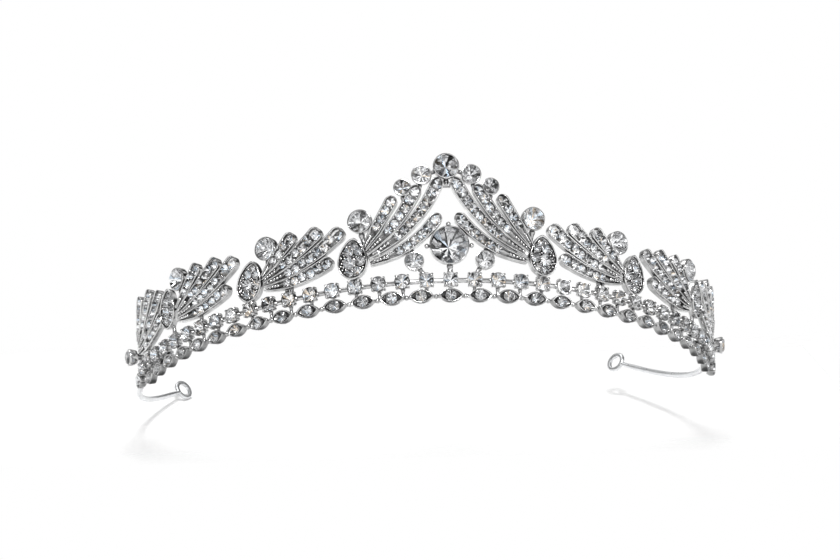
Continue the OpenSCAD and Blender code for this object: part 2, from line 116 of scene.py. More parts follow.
def island_points(node):
    """The separate solids of a node, each as its own points, in millimetres."""
    mesh = nodes[node].data
    co = np.zeros(len(mesh.vertices) * 3)
    mesh.vertices.foreach_get("co", co)
    co = co.reshape(-1, 3) / MM
    _, same = np.unique(np.round(co, 3), axis=0, return_inverse=True)
    same = same.reshape(-1)
    parent = list(range(same.max() + 1))

    def find(i):
        while parent[i] != i:
            parent[i] = parent[parent[i]]
            i = parent[i]
        return i

    for polygon in mesh.polygons:
        ring = [find(same[v]) for v in polygon.vertices]
        for other in ring[1:]:
            parent[find(other)] = find(ring[0])
    groups = {}
    for vertex, key in enumerate(same):
        groups.setdefault(find(key), {})[key] = co[vertex]
    return [np.array(list(g.values())) for g in groups.values()]


def upright(centre, out, d):
    """A site that faces `out`, with its up direction as near +Z as it can be."""
    up = np.array([0.0, 0.0, 1.0]) - out[2] * out
    up /= np.linalg.norm(up)
    return Site(centre, np.cross(up, out), up, out, d)


def stone_sites(node):
    """Where each stone of a node sits: its girdle's centre, directions and diameter."""
    sites = []
    for points in island_points(node):
        middle = points.mean(0)
        axis = np.linalg.svd(points - middle)[2][2]
        along = (points - middle) @ axis
        if abs(along.min()) < abs(along.max()):
            axis, along = -axis, -along
        culet = points[along.argmin()]
        offset = points - culet
        radial = offset - np.outer(offset @ axis, axis)
        d = 2 * np.linalg.norm(radial, axis=1).max()
        height = offset @ axis
        girdle = height[np.linalg.norm(radial, axis=1) > NEAR_RIM * d].min()
        sites.append(upright(culet + girdle * axis, axis, d))
    sites.sort(key=lambda s: (round(s.centre[0], 3), round(s.centre[2], 3)))
    return sites


# The lower rail's middle stone fixes the band's height and place in the box
anchor = min(stone_sites("lower_rail_stones"), key=lambda s: abs(s.centre[0]))
lower_z = anchor.centre[2]
upper_z = lower_z + RAIL_GAP
TAN_LEAN = math.tan(math.radians(LEAN))
mid_y = LOWER_INSET + RAIL_GAP * TAN_LEAN - anchor.centre[1]
FRONT_LEN = FRONT_R * math.radians(FRONT_ANGLE)


def turn(s):
    """The band's heading at s along it, in radians."""
    if abs(s) < FRONT_LEN:
        return s / FRONT_R
    return math.copysign(
        math.radians(FRONT_ANGLE) + (abs(s) - FRONT_LEN) / SIDE_R, s
    )


def plan(s):
    """Where the band's middle line is at s, seen from above."""
    a = abs(turn(s))
    b = min(a, math.radians(FRONT_ANGLE))
    x = FRONT_R * math.sin(b) + SIDE_R * (math.sin(a) - math.sin(b))
    y = FRONT_R * (1 - math.cos(b)) + SIDE_R * (math.cos(b) - math.cos(a))
    return math.copysign(x, s), y


def on_band(s, h, out=0.0):
    """A point s along the band and h above the lower rail's middle line."""
    a = turn(s)
    d = out + (lower_z + h - upper_z) * TAN_LEAN
    x, y = plan(s)
    return np.array([x + d * math.sin(a), y - d * math.cos(a) - mid_y, lower_z + h])


def band_site(s, h, out=0.0, d=1.0):
    """A site on the band that faces straight out from it."""
    a, lean = turn(s), math.radians(LEAN)
    facing = np.array([
        math.sin(a) * math.cos(lean), -math.cos(a) * math.cos(lean), -math.sin(lean)
    ])
    return upright(on_band(s, h, out), facing, d)


# ---------------------------------------------------------------- shape tools


class Shape:
    """Collects the faces of one piece, in millimetres in the row frame."""

    def __init__(self):
        self.points, self.faces, self.slots, self.tones = [], [], [], []

    def add(self, points, faces, site=None, slot=0, tone=None):
        points = np.asarray(points, float)
        if site is not None:
            axes = np.array([site.right, site.up, site.out])
            points = points @ axes + site.centre
        start = len(self.points)
        self.points.extend(points)
        for i, face in enumerate(faces):
            self.faces.append([start + v for v in face])
            self.slots.append(slot[i] if isinstance(slot, list) else slot)
            self.tones.append(tone[i] if tone is not None else (1.0, 1.0, 1.0))


def rings_to_faces(count, size):
    """The side faces over a row of rings, each with the same number of points."""
    faces = []
    for i in range(count - 1):
        for j in range(size):
            a, b = i * size + j, i * size + (j + 1) % size
            faces.append([a, b, b + size, a + size])
    return faces


def capped_rings(count, size):
    """The side faces over a row of rings, and a flat face at each end."""
    last = (count - 1) * size
    ends = [list(range(size))[::-1], [last + j for j in range(size)]]
    return rings_to_faces(count, size) + ends


def revolve(profile, sides, phase=0.0):
    """Turns (radius, height) pairs about +Z, and closes the ends of an open profile."""
    points = []
    for r, z in profile:
        for j in range(sides):
            a = phase + math.tau * j / sides
            points.append((r * math.cos(a), r * math.sin(a), z))
    cover = rings_to_faces if profile[0] == profile[-1] else capped_rings
    return points, cover(len(profile), sides)


def ring_solid(profile, sides):
    """Turns a closed section about +Z, for a ring with a hole through it."""
    return revolve(list(profile) + [profile[0]], sides)


def tube(path, radii, sides, flat=None):
    """A rod with rounded ends through the points of path. flat squeezes its section."""
    path = [np.asarray(p, float) for p in path]
    radii = list(radii) if hasattr(radii, "__len__") else [radii] * len(path)
    tangents = []
    for i in range(len(path)):
        t = path[min(i + 1, len(path) - 1)] - path[max(i - 1, 0)]
        tangents.append(t / np.linalg.norm(t))
    first = np.cross(tangents[0], (0.0, 0.0, 1.0))
    if np.linalg.norm(first) < 0.1:
        first = np.cross(tangents[0], (1.0, 0.0, 0.0))
    side = first / np.linalg.norm(first)
    dome = [(1 - step, math.sqrt(1 - (1 - step) ** 2)) for step in (0.05, 0.4, 0.75)]
    stations = [(0, -radii[0] * past, radii[0] * reach) for past, reach in dome]
    stations += [(i, 0.0, radii[i]) for i in range(len(path))]
    stations += [
        (len(path) - 1, radii[-1] * past, radii[-1] * reach) for past, reach in reversed(dome)
    ]
    points = []
    for i, ahead, r in stations:
        t = tangents[i]
        side = side - (side @ t) * t
        side /= np.linalg.norm(side)
        other = np.cross(t, side)
        squeeze = 1.0 if flat is None else flat[i]
        for j in range(sides):
            a = math.tau * j / sides
            points.append(
                path[i] + ahead * t + r * (math.cos(a) * side + math.sin(a) * squeeze * other)
            )
    return points, capped_rings(len(stations), sides)


def bead(r, sides, rows):
    """A small ball about the origin."""
    profile = []
    for i in range(rows + 1):
        a = math.pi * (i + 0.15) / (rows + 0.3)
        profile.append((r * math.sin(a), -r * math.cos(a)))
    return revolve(profile, sides)


def finish_piece(shape, name, materials, replaces, smooth_deg=40.0):
    """Makes the piece; without smooth_deg it stays faceted and keeps its faces' tones, the painted
    reflections of the stones' foil.
    """
    mesh = bpy.data.meshes.new(name)
    mesh.from_pydata([tuple(p * MM) for p in shape.points], [], shape.faces)
    for m in materials:
        mesh.materials.append(m)
    mesh.polygons.foreach_set("material_index", shape.slots)
    if smooth_deg:
        mesh.polygons.foreach_set("use_smooth", [True] * len(mesh.polygons))
        mesh.set_sharp_from_angle(angle=math.radians(smooth_deg))
    else:
        tones = mesh.attributes.new("facet", "FLOAT_COLOR", "CORNER")
        colours = []
        for polygon in mesh.polygons:
            colours += [*shape.tones[polygon.index], 1.0] * polygon.loop_total
        tones.data.foreach_set("color", colours)
    mesh.validate()
    mesh.update()
    shell = bmesh.new()
    shell.from_mesh(mesh)
    bmesh.ops.recalc_face_normals(shell, faces=shell.faces)
    shell.to_mesh(mesh)
    shell.free()
    piece = bpy.data.objects.new(name, mesh)
    bpy.context.scene.collection.objects.link(piece)
    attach(piece, "root")
    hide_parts(*replaces)


# ---------------------------------------------------------------- materials


def material(name):
    """A new material, its node tree and its main shader."""
    m = bpy.data.materials.new(name)
    m.use_nodes = True
    tree = m.node_tree
    shader = tree.nodes["Principled BSDF"]
    return m, tree, shader


def noise(tree, scale, detail=3.0, distortion=0.0):
    """Noise in the piece's own coordinates, so that it stays with the piece."""
    where = tree.nodes.new("ShaderNodeTexCoord")
    texture = tree.nodes.new("ShaderNodeTexNoise")
    texture.inputs["Scale"].default_value = scale
    texture.inputs["Detail"].default_value = detail
    texture.inputs["Distortion"].default_value = distortion
    tree.links.new(where.outputs["Object"], texture.inputs["Vector"])
    return texture.outputs["Fac"]


def spread(tree, source, low, high, from_low=0.3, from_high=0.7):
    """The source, stretched from its usual range to low and high."""
    node = tree.nodes.new("ShaderNodeMapRange")
    node.inputs["From Min"].default_value = from_low
    node.inputs["From Max"].default_value = from_high
    node.inputs["To Min"].default_value = low
    node.inputs["To Max"].default_value = high
    tree.links.new(source, node.inputs["Value"])
    return node.outputs["Result"]


def mix_colour(tree, factor, a, b):
    """Colour a where the factor is 0, and b where it is 1."""
    node = tree.nodes.new("ShaderNodeMix")
    node.data_type = "RGBA"
    tree.links.new(factor, node.inputs["Factor"])
    for socket, value in ((node.inputs[6], a), (node.inputs[7], b)):
        if isinstance(value, tuple):
            socket.default_value = (*value, 1.0)
        else:
            tree.links.new(value, socket)
    return node.outputs[2]


def plated(name, bright, tarnish, painted_hollow_shade, rough, bump, grain):
    """Plated metal, finely worn, with painted shade: its colour is darker in the hollows and
    brighter on what is proud.

    grain is how fine the wear is, in cells per metre.
    """
    m, tree, shader = material(name)
    shader.inputs["Metallic"].default_value = 1.0
    patches = noise(tree, scale=420.0, detail=4.0, distortion=0.3)
    tone = spread(tree, patches, 0.0, 1.0)
    face = mix_colour(tree, tone, tarnish, bright)
    # Painted shade: an ambient-occlusion mask darkens the base colour in hollows and recesses,
    # standing in for the shade that falls there
    shade = tree.nodes.new("ShaderNodeAmbientOcclusion")
    shade.samples = 4
    shade.inputs["Distance"].default_value = 0.9 * MM
    open_sky = spread(tree, shade.outputs["AO"], 0.0, 1.0, from_low=0.25, from_high=0.8)
    colour = mix_colour(tree, open_sky, painted_hollow_shade, face)
    tree.links.new(colour, shader.inputs["Base Color"])
    fine = noise(tree, scale=grain, detail=2.0)
    tree.links.new(
        spread(tree, fine, rough * 0.75, rough * 1.35), shader.inputs["Roughness"]
    )
    relief = tree.nodes.new("ShaderNodeBump")
    relief.inputs["Strength"].default_value = bump
    relief.inputs["Distance"].default_value = 0.03 * MM
    tree.links.new(fine, relief.inputs["Height"])
    tree.links.new(relief.outputs["Normal"], shader.inputs["Normal"])
    return m


casting = plated(
    "plated_casting_with_painted_shade", bright=(0.86, 0.86, 0.86), tarnish=(0.5, 0.5, 0.5),
    painted_hollow_shade=(0.24, 0.24, 0.243), rough=0.17, bump=0.4, grain=2600.0,
)
setting = plated(
    "plated_setting_with_painted_shade", bright=(0.78, 0.78, 0.78), tarnish=(0.46, 0.46, 0.46),
    painted_hollow_shade=(0.26, 0.26, 0.263), rough=0.13, bump=0.3, grain=3200.0,
)
solder = plated(
    "solder_wire_with_painted_shade", bright=(0.62, 0.62, 0.62), tarnish=(0.3, 0.3, 0.305),
    painted_hollow_shade=(0.05, 0.05, 0.05), rough=0.24, bump=0.5, grain=1900.0,
)
arm_metal = plated(
    "arm_wire_with_painted_shade", bright=(0.82, 0.83, 0.84), tarnish=(0.73, 0.74, 0.75),
    painted_hollow_shade=(0.5, 0.5, 0.51), rough=0.33, bump=0.15, grain=1500.0,
)


def crystal_glass():
    """The clear front of a stone."""
    m, tree, shader = material("crystal_finish")
    shader.inputs["Base Color"].default_value = (0.97, 0.98, 1.0, 1.0)
    shader.inputs["Transmission Weight"].default_value = 1.0
    shader.inputs["IOR"].default_value = 1.3
    haze = spread(tree, noise(tree, scale=900.0), 0.0, 0.03)
    tree.links.new(haze, shader.inputs["Roughness"])
    return m


def crystal_foil():
    """The silvered back of a stone, with painted reflections toned facet by facet, and a painted
    glow from its emission.
    """
    m, tree, shader = material("crystal_foil_painted_glints")
    tones = tree.nodes.new("ShaderNodeAttribute")
    tones.attribute_name = "facet"
    shader.inputs["Metallic"].default_value = 1.0
    worn = spread(tree, noise(tree, scale=1400.0), 0.82, 1.0)
    mix = tree.nodes.new("ShaderNodeVectorMath")
    mix.operation = "SCALE"
    tree.links.new(tones.outputs["Color"], mix.inputs[0])
    tree.links.new(worn, mix.inputs["Scale"])
    tree.links.new(mix.outputs["Vector"], shader.inputs["Base Color"])
    # Painted glow: the facet tones also drive the emission, so the foil shines though it is no
    # lamp
    tree.links.new(mix.outputs["Vector"], shader.inputs["Emission Color"])
    shader.inputs["Emission Strength"].default_value = 0.3
    haze = spread(tree, noise(tree, scale=2000.0), 0.05, 0.2)
    tree.links.new(haze, shader.inputs["Roughness"])
    return m


glass, foil = crystal_glass(), crystal_foil()

# ---------------------------------------------------------------- stones
# Shares of the stone's diameter; DEEP_SHARES are shares of the pavilion's depth
PAVILION, CROWN, TABLE = 0.42, 0.17, 0.64
MID_R, MID_H, DEEP_R = 0.425, 0.095, 0.27
DEEP_SHARES = (0.42, 0.52)


def ring_points(r, z, count, phase):
    """Points round a circle at height z."""
    return [
        (r * math.cos(phase + math.tau * i / count), r * math.sin(phase + math.tau * i / count), z)
        for i in range(count)
    ]


def brilliant():
    """A round cut one unit across: its points, faces, and which faces are the foil."""
    step = math.tau / 16
    table = ring_points(TABLE / 2 / math.cos(step), GIRDLE + CROWN, 8, 0)
    mid = ring_points(MID_R, GIRDLE + MID_H, 8, step)
    high = ring_points(0.5, GIRDLE, 16, 0)
    low = ring_points(0.5, 0.0, 16, 0)
    deep = []
    for i, (x, y, _) in enumerate(ring_points(DEEP_R, 0.0, 16, 0)):
        deep.append((x, y, -PAVILION * DEEP_SHARES[i % 2]))
    points = table + mid + high + low + deep + [(0.0, 0.0, -PAVILION)]
    t, m, h, g, p, culet = 0, 8, 16, 32, 48, 64
    front = [[t + i for i in range(8)]]
    for i in range(8):
        n, b = (i + 1) % 8, (i - 1) % 8
        even, odd, after = 2 * i, 2 * i + 1, (2 * i + 2) % 16
        front += [
            [t + i, m + b, h + even, m + i],
            [t + i, m + i, t + n],
            [m + i, h + even, h + odd],
            [m + i, h + odd, h + after],
        ]
    back = []
    for j in range(16):
        n = (j + 1) % 16
        front.append([h + j, g + j, g + n, h + n])
        back += [[culet, p + n, p + j], [p + j, p + n, g + j], [p + n, g + n, g + j]]
    return np.array(points), front, back


CUT_POINTS, CUT_FRONT, CUT_BACK = brilliant()
# How bright a foil wedge's painted reflection may be; large stones have more dark wedges
PAINTED_GLINT_LEVELS = (0.06, 0.3, 0.7, 0.95, 1.0, 1.0)
LARGE_D, LARGE_PAINTED_GLINT_LEVELS = 5.2, (0.0, 0.03, 0.1, 0.7, 1.0, 1.0)
# Painted fire: a few wedges get a warm or cool tint that stands in for the stone's dispersion
WARM_SHARE, WARM = 0.04, (1.0, 0.86, 0.7)
COOL_SHARE, COOL = 0.1, (0.8, 0.9, 1.0)


def painted_wedge_glints(d):
    """Painted reflections in the foil, wedge by wedge, with a rare warm or cool painted flash of
    fire.
    """
    levels = LARGE_PAINTED_GLINT_LEVELS if d > LARGE_D else PAINTED_GLINT_LEVELS
    tones = []
    for _ in range(16):
        value = rng.choice(levels)
        flash = rng.random()
        tint = (1.0, 1.0, 1.0)
        if flash < WARM_SHARE:
            tint = WARM
        elif flash < WARM_SHARE + COOL_SHARE:
            tint = COOL
        for k in (1.0, rng.choice((0.35, 0.8, 1.0)), rng.choice((0.6, 1.0))):
            tones.append(tuple(min(1.0, value * k) * c for c in tint))
    return tones


def add_stone(shape, site):
    """A cut stone, turned by chance about its own axis."""
    spin = rng.random() * math.tau
    c, s = math.cos(spin), math.sin(spin)
    points = CUT_POINTS @ np.array([[c, s, 0], [-s, c, 0], [0, 0, 1]]) * site.d
    faces = CUT_FRONT + CUT_BACK
    slots = [0] * len(CUT_FRONT) + [1] * len(CUT_BACK)
    shape.add(points, faces, site, slots, [(1.0, 1.0, 1.0)] * len(CUT_FRONT) + painted_wedge_glints(site.d))


STONE_NODES = sorted(n for n in nodes if n.endswith("_stones") or n.endswith("_stone"))
sites = {}
for node in STONE_NODES:
    sites[node] = stone_sites(node)
    cut = Shape()
    for place in sites[node]:
        add_stone(cut, place)
    finish_piece(cut, node + "_cut", [glass, foil], [node], smooth_deg=None)

# ---------------------------------------------------------------- cups and bezels


def add_cup(shape, site):
    """A stamped claw cup: a thin bowl, with four claws folded over the stone."""
    r, d = site.d / 2, site.d
    outer = r + CUP_WALL + 0.1
    section = [
        (0.5 * r, -0.5 * d), (0.86 * outer, -0.5 * d), (0.95 * outer, -0.42 * d),
        (outer, -0.25 * d), (outer, -0.02 * d), (outer - 0.03, 0.035 * d),
        (r + 0.01, 0.035 * d), (r, -0.01 * d), (0.45 * r, -0.24 * d),
    ]
    shape.add(*ring_solid(section, sides=24), site)
    for a in (45, 135, 225, 315):
        ux, uy = math.cos(math.radians(a)), math.sin(math.radians(a))
        path, radii = [], []
        for rho, z, thick in (
            (outer * 0.9, -0.46 * d, 0.26), (outer + 0.1, -0.3 * d, 0.28),
            (outer + 0.14, -0.1 * d, 0.28), (outer + 0.1, 0.03 * d, 0.28),
            (outer - 0.06, 0.09 * d, 0.27), (outer - 0.26, 0.125 * d, 0.24),
        ):
            path.append((rho * ux, rho * uy, z))
            radii.append(thick)
        shape.add(*tube(path, radii, sides=8), site)


def add_bezel(shape, site, wall, depth):
    """A turned ring with a rolled lip over the stone's girdle."""
    r, d = site.d / 2, site.d
    outer = r + wall
    base = 0.9 if depth < DEEP_BEZEL else 0.76
    section = [
        (0.45 * r, -depth * d), (base * outer, -depth * d),
        ((base + 0.07) * outer, (0.05 - depth) * d), (0.98 * outer, -0.14 * d),
        (outer, -0.06 * d), (outer, -0.01 * d), (outer - 0.02, 0.04 * d),
        (outer - 0.08, 0.07 * d), (r + 0.02, 0.08 * d), (r - 0.07, 0.075 * d),
        (r - 0.09, 0.06 * d), (r, 0.02 * d), (r, -0.01 * d), (0.42 * r, -0.24 * d),
    ]
    shape.add(*ring_solid(section, sides=48), site)


for node, stones in (
    ("upper_rail_cups", "upper_rail_stones"), ("rail_end_cups", "rail_end_stones"),
):
    cups = Shape()
    for place in sites[stones]:
        add_cup(cups, place)
    finish_piece(cups, node + "_clawed", [setting], [node])

for node, stones, deep in (
    ("stalk_bezels", "stalk_stones", BEZEL_DEPTH),
    ("crest_top_bezel", "crest_top_stone", BEZEL_DEPTH),
    ("crest_side_bezels", "crest_side_stones", BEZEL_DEPTH),
    ("centre_bezel", "centre_stone", DEEP_BEZEL),
    ("side_bezels", "side_stones", BEZEL_DEPTH),
    ("end_bezels", "end_stones", DEEP_BEZEL),
):
    bezels = Shape()
    for place in sites[stones]:
        add_bezel(bezels, place, BEZEL_WALL, deep)
        if node == "end_bezels":
            back = -deep * place.d
            stem = [(0, 0, back + 0.4), (0, 0, back), (0, 0, back - 0.5), (0, 0, back - 1.0)]
            bezels.add(*tube(stem, [1.0, 0.95, 0.8, 0.9], sides=16), place)
    finish_piece(bezels, node + "_lipped", [setting], [node])

# ---------------------------------------------------------------- lower rail


def marquise_outline(inset, count=40):
    """Points round a marquise, inset from its edge."""
    length, height = MARQUISE_LEN - 3.4 * inset, MARQUISE_H - 2 * inset
    r = (length * length + height * height) / (4 * height)
    reach = math.asin(length / 2 / r)
    points = []
    half = count // 2
    for side in (1, -1):
        for i in range(half):
            a = side * (reach - 2 * reach * i / half)
            points.append((r * math.sin(a), side * (r * math.cos(a) - r + height / 2)))
    return points


def add_marquise(shape, site):
    """A marquise pan with a rolled rim, and its stone's seat and four claws."""
    levels = [
        (1.0, -MARQUISE_DEPTH), (0.3, -MARQUISE_DEPTH), (0.08, -MARQUISE_DEPTH + 0.08),
        (0.03, -MARQUISE_DEPTH + 0.3), (0.0, -0.1), (0.0, 0.08), (0.04, 0.16), (0.12, 0.2),
        (0.2, 0.19), (0.27, 0.13), (0.3, 0.02), (0.33, -0.18), (0.5, -0.4), (0.75, -0.62),
        (1.05, -0.97),
    ]
    points = []
    for inset, z in levels:
        points += [(x, y, z) for x, y in marquise_outline(inset)]
    shape.add(points, capped_rings(len(levels), len(points) // len(levels)), site)
    r = site.d / 2
    collar = [
        (r + 0.14, -0.9), (r + 0.14, -0.02), (r + 0.1, 0.05), (r + 0.03, 0.07),
        (r - 0.01, 0.03), (r, -0.02), (0.4 * r, -0.56), (0.3 * r, -0.9),
    ]
    shape.add(*ring_solid(collar, sides=24), site)
    for a in (35, 145, 215, 325):
        ux, uy = math.cos(math.radians(a)), math.sin(math.radians(a))
        path = [
            ((r + 0.14) * ux, (r + 0.14) * uy, -0.5), ((r + 0.15) * ux, (r + 0.15) * uy, 0.0),
            ((r + 0.05) * ux, (r + 0.05) * uy, 0.17), ((r - 0.12) * ux, (r - 0.12) * uy, 0.25),
        ]
        shape.add(*tube(path, [0.17, 0.18, 0.17, 0.14], sides=8), site)


settings = Shape()
for place in sites["lower_rail_stones"]:
    add_marquise(settings, place)
finish_piece(
    settings, "lower_rail_settings_rimmed", [setting], ["lower_rail_settings"]
)

# ---------------------------------------------------------------- wings


def feather_point(root, feather, u):
    """A point on the feather's middle line; u runs from its root, 0, to its tip, 1."""
    (tx, ty), (rx, ry), bow, _ = feather
    dx, dy = tx - rx, ty - ry
    length = math.hypot(dx, dy)
    dx, dy = dx / length, dy / length
    sag = 4 * bow * u * (1 - u)
    side = -dy if dy > 0 else dy
    return (
        root[0] + rx + u * (tx - rx) + sag * side,
        root[1] + ry + u * (ty - ry) - sag * abs(dx),
    )


def feather_len(feather):
    (tx, ty), (rx, ry), _, _ = feather
    return math.hypot(tx - rx, ty - ry)


def stone_size(u):
    """A feather's stones grow from its root to its tip."""
    return STONE_ROOT + (STONE_TIP - STONE_ROOT) * u


def half_width(u, feather):
    """Half the feather's breadth at u; its tip is round."""
    left = (1 - u) * feather_len(feather)
    cap = math.sqrt(max(0.0, 1 - (1 - left / TIP_R) ** 2)) if left < TIP_R else 1.0
    full = stone_size(u) / 2 + FEATHER_RIM + feather[3] * max(0.0, u) ** 1.5
    return max(0.12, full * (0.55 + 0.45 * min(1.0, 3 * u)) * cap)


def feather_frame(root, feather, u):
    """The feather's middle at u, and its crosswise direction on the band."""
    e = 0.01
    a, b = feather_point(root, feather, u - e), feather_point(root, feather, u + e)
    dx, dy = b[0] - a[0], b[1] - a[1]
    size = math.hypot(dx, dy)
    return feather_point(root, feather, u), (-dy / size, dx / size)


def on_feather(side, root, feather, u, across, out):
    """A point beside the feather's middle line, and out from the band."""
    c, n = feather_frame(root, feather, u)
    return on_band(side * (c[0] + across * n[0]), c[1] + across * n[1], out)


def half_section(w, v):
    """One side of the channel's section: from the floor's middle over the rim to the back."""
    low = -CASTING_BACK + FLOOR_T
    r = (w - v) / 2
    points = [(v * 0.55, low), (v * 0.9, low + 0.03), (v, low + 0.14), (v, FACE - r - 0.25)]
    for a in (180, 144, 108, 72, 36, 0):
        points.append((
            w - r + r * math.cos(math.radians(a)), FACE - r + r * math.sin(math.radians(a))
        ))
    points += [
        (w, -0.45), (w - 0.02, -CASTING_BACK + 0.25),
        (w - min(0.1, w / 3), -CASTING_BACK + 0.05), (w * 0.6, -CASTING_BACK),
    ]
    return points


def add_feather(shape, side, root, feather):
    """One channel, closed at both ends; its rings crowd together at the tip."""
    count = 46
    points = []
    for i in range(count):
        u = 1 - (1 - i / (count - 1)) ** 1.5
        w = half_width(u, feather)
        v = max(0.04, w - FEATHER_RIM)
        half = half_section(w, v)
        section = half + [(-x, z) for x, z in reversed(half)]
        points += [on_feather(side, root, feather, u, x, z) for x, z in section]
    faces = capped_rings(count, len(points) // count)
    if side < 0:
        faces = [f[::-1] for f in faces]
    shape.add(points, faces)


def feather_stones(feather):
    """Where the stones stand, from the tip down: u, and how far across."""
    u, found = 1 - FIRST_STONE / feather_len(feather), []

    def sway(at):
        return max(0.0, half_width(at, feather) - FEATHER_RIM - stone_size(at) / 2)

    while u >= LEAST_U:
        found.append((u, sway(u) * (-1 if len(found) % 2 else 1)))
        reach = stone_size(u) + FEATHER_GAP
        ahead = sway(u - LOOK_AHEAD / feather_len(feather))
        u -= math.sqrt(reach ** 2 - (2 * ahead) ** 2) / feather_len(feather)
    return found


PAVE_R, PAVE_SUNK = 0.23, 0.1


def add_pave_beads(shape, side, root, feather):
    """The little raised beads that hold the stones, at both edges beside every gap."""
    stones = feather_stones(feather)
    for (u, _), (v, _) in zip(stones, stones[1:]):
        middle = (u + v) / 2
        edge = max(0.04, half_width(middle, feather) - FEATHER_RIM)
        for across in (-1, 1):
            centre = on_feather(
                side, root, feather, middle, across * (edge - PAVE_SUNK), FACE - PAVE_SUNK
            )
            points, faces = bead(PAVE_R, sides=8, rows=5)
            shape.add(np.array(points) + centre, faces)


def add_root_ribs(shape, side, root, feather):
    """The engraved rib in each feather's bare root, with a few beads raised on it."""
    us = [0.19 * i / 8 for i in range(9)]
    path = [on_feather(side, root, feather, u, 0.0, -0.12 + 0.5 * u) for u in us]
    shape.add(*tube(path, [0.1 + 0.35 * u for u in us], sides=8))
    for u in (0.05, 0.09, 0.13, 0.17, 0.21):
        points, faces = bead(0.26 + 0.6 * u, sides=8, rows=5)
        centre = on_feather(side, root, feather, u, 0.0, 0.08 + 0.4 * u)
        shape.add(np.array(points) + centre, faces)


for w, root in enumerate(WING_ROOTS):
    for side in SIDES:
        wing = Shape()
        for feather in WING_FEATHERS[w]:
            add_feather(wing, side, root, feather)
            add_pave_beads(wing, side, root, feather)
            add_root_ribs(wing, side, root, feather)
        boss = [
            (0.5, -CASTING_BACK), (ROOT_R - 0.1, -CASTING_BACK), (ROOT_R, -CASTING_BACK + 0.1),
            (ROOT_R, -0.35), (ROOT_R - 0.12, -0.12), (ROOT_R - 0.5, 0.0), (0.4, 0.03),
        ]
        boss_s, boss_h = ROOT_BOSSES[w]
        wing.add(*revolve(boss, sides=32), band_site(side * boss_s, boss_h))
        name = f"wing_{w + 1}_{SIDE_NAMES[side]}"
        finish_piece(wing, name + "_cast", [casting], [name])

# ---------------------------------------------------------------- pears


def pear_outline(inset, count=48):
    """Points round a pear, inset from its edge."""
    w, h = PEAR_W - 2 * inset, PEAR_H - 3 * inset
    points = []
    for i in range(count):
        a = math.tau * i / count
        x = math.copysign(abs(math.sin(a)) ** 1.2, math.sin(a)) * w / 2
        points.append((x * (1 - 0.22 * math.cos(a)) / 1.03, h / 2 * math.cos(a)))
    return points


def pear_site(i, side):
    """The pear's own frame; its right points towards the band's end."""
    s, h = PEAR_PLACES[i]
    flat = band_site(side * s, h, -0.1)
    a = math.radians(side * PEAR_TILTS[side][i])
    right = math.cos(a) * flat.right + math.sin(a) * flat.up
    up = -math.sin(a) * flat.right + math.cos(a) * flat.up
    return Site(flat.centre, right * side, up, flat.out, 1.0)


def add_pear(shape, site, side):
    """A pear-shaped pan with a rolled rim, a seat for each stone, and beads between them."""
    levels = [
        (1.2, -CASTING_BACK), (0.3, -CASTING_BACK), (0.08, -CASTING_BACK + 0.08),
        (0.02, -CASTING_BACK + 0.3), (0.0, 0.0), (0.0, 0.25), (0.05, 0.35), (0.14, 0.4),
        (0.22, 0.38), (0.28, 0.3), (0.31, 0.2), (0.33, -0.2), (0.55, -0.42), (0.9, -0.75),
        (1.3, -1.15),
    ]
    points = []
    for inset, z in levels:
        points += [(x, y, z) for x, y in pear_outline(inset)]
    faces = capped_rings(len(levels), len(points) // len(levels))
    if side > 0:
        faces = [f[::-1] for f in faces]
    shape.add(points, faces, site)
    for x, y, d in PEAR_STONES:
        r = d / 2
        seat = [
            (r + 0.13, -1.12), (r + 0.13, -0.06), (r + 0.06, 0.05), (r, 0.07),
            (r - 0.02, 0.0), (0.3 * r, -0.3 * d), (0.2 * r, -1.12),
        ]
        seat_points, seat_faces = ring_solid(seat, sides=20)
        if side < 0:
            seat_faces = [f[::-1] for f in seat_faces]
        shape.add(np.array(seat_points) + (x, y, 0), seat_faces, site)
    for x, y in pear_beads():
        stem = [(x, y, -1.0), (x, y, -0.4), (x, y, 0.0)]
        shape.add(*tube(stem, [0.34, 0.3, 0.26], sides=8), site)


PEAR_RIM, BEAD_CLEAR, BEAD_APART = 0.62, 0.16, 0.62


def pear_beads():
    """Beads fill the corners inside the rim that the stones leave, spread evenly."""
    found = []
    limit = pear_outline(PEAR_RIM, 96)
    for x, y in [(x / 10, y / 10) for y in range(-44, 45, 2) for x in range(-32, 33, 2)]:
        inside = False
        for (x0, y0), (x1, y1) in zip(limit, limit[1:] + limit[:1]):
            if (y0 > y) != (y1 > y) and x < (x1 - x0) * (y - y0) / (y1 - y0) + x0:
                inside = not inside
        clear = all(math.hypot(x - a, y - b) > d / 2 + BEAD_CLEAR for a, b, d in PEAR_STONES)
        apart = all(math.hypot(x - a, y - b) > BEAD_APART for a, b in found)
        if inside and clear and apart:
            found.append((x, y))
    return found


for i in range(len(PEAR_PLACES)):
    for side in SIDES:
        pear = Shape()
        add_pear(pear, pear_site(i, side), side)
        name = f"pear_{i + 1}_{SIDE_NAMES[side]}"
        finish_piece(pear, name + "_cast", [casting], [name])

# ---------------------------------------------------------------- posts, links and beads


def add_post(shape, side, p, q, r, out, flare=1.45):
    """A wire post between two places, with solder drawn up round both ends."""
    a = on_band(side * p[0], p[1], out)
    b = on_band(side * q[0], q[1], out)
    steps = (0.0, 0.12, 0.3, 0.5, 0.7, 0.88, 1.0)
    swell = (flare, 1.2, 1.02, 1.0, 1.02, 1.2, flare)
    length = np.linalg.norm(b - a)
    fill = min(1.0, length / (6 * r))
    radii = [r * (1 + (k - 1) * fill) for k in swell]
    trim = min(radii[0], 0.3 * length)
    along = (b - a) / length
    path = [a + along * (trim * 0.5 + (length - trim) * u) for u in steps]
    shape.add(*tube(path, radii, sides=12))


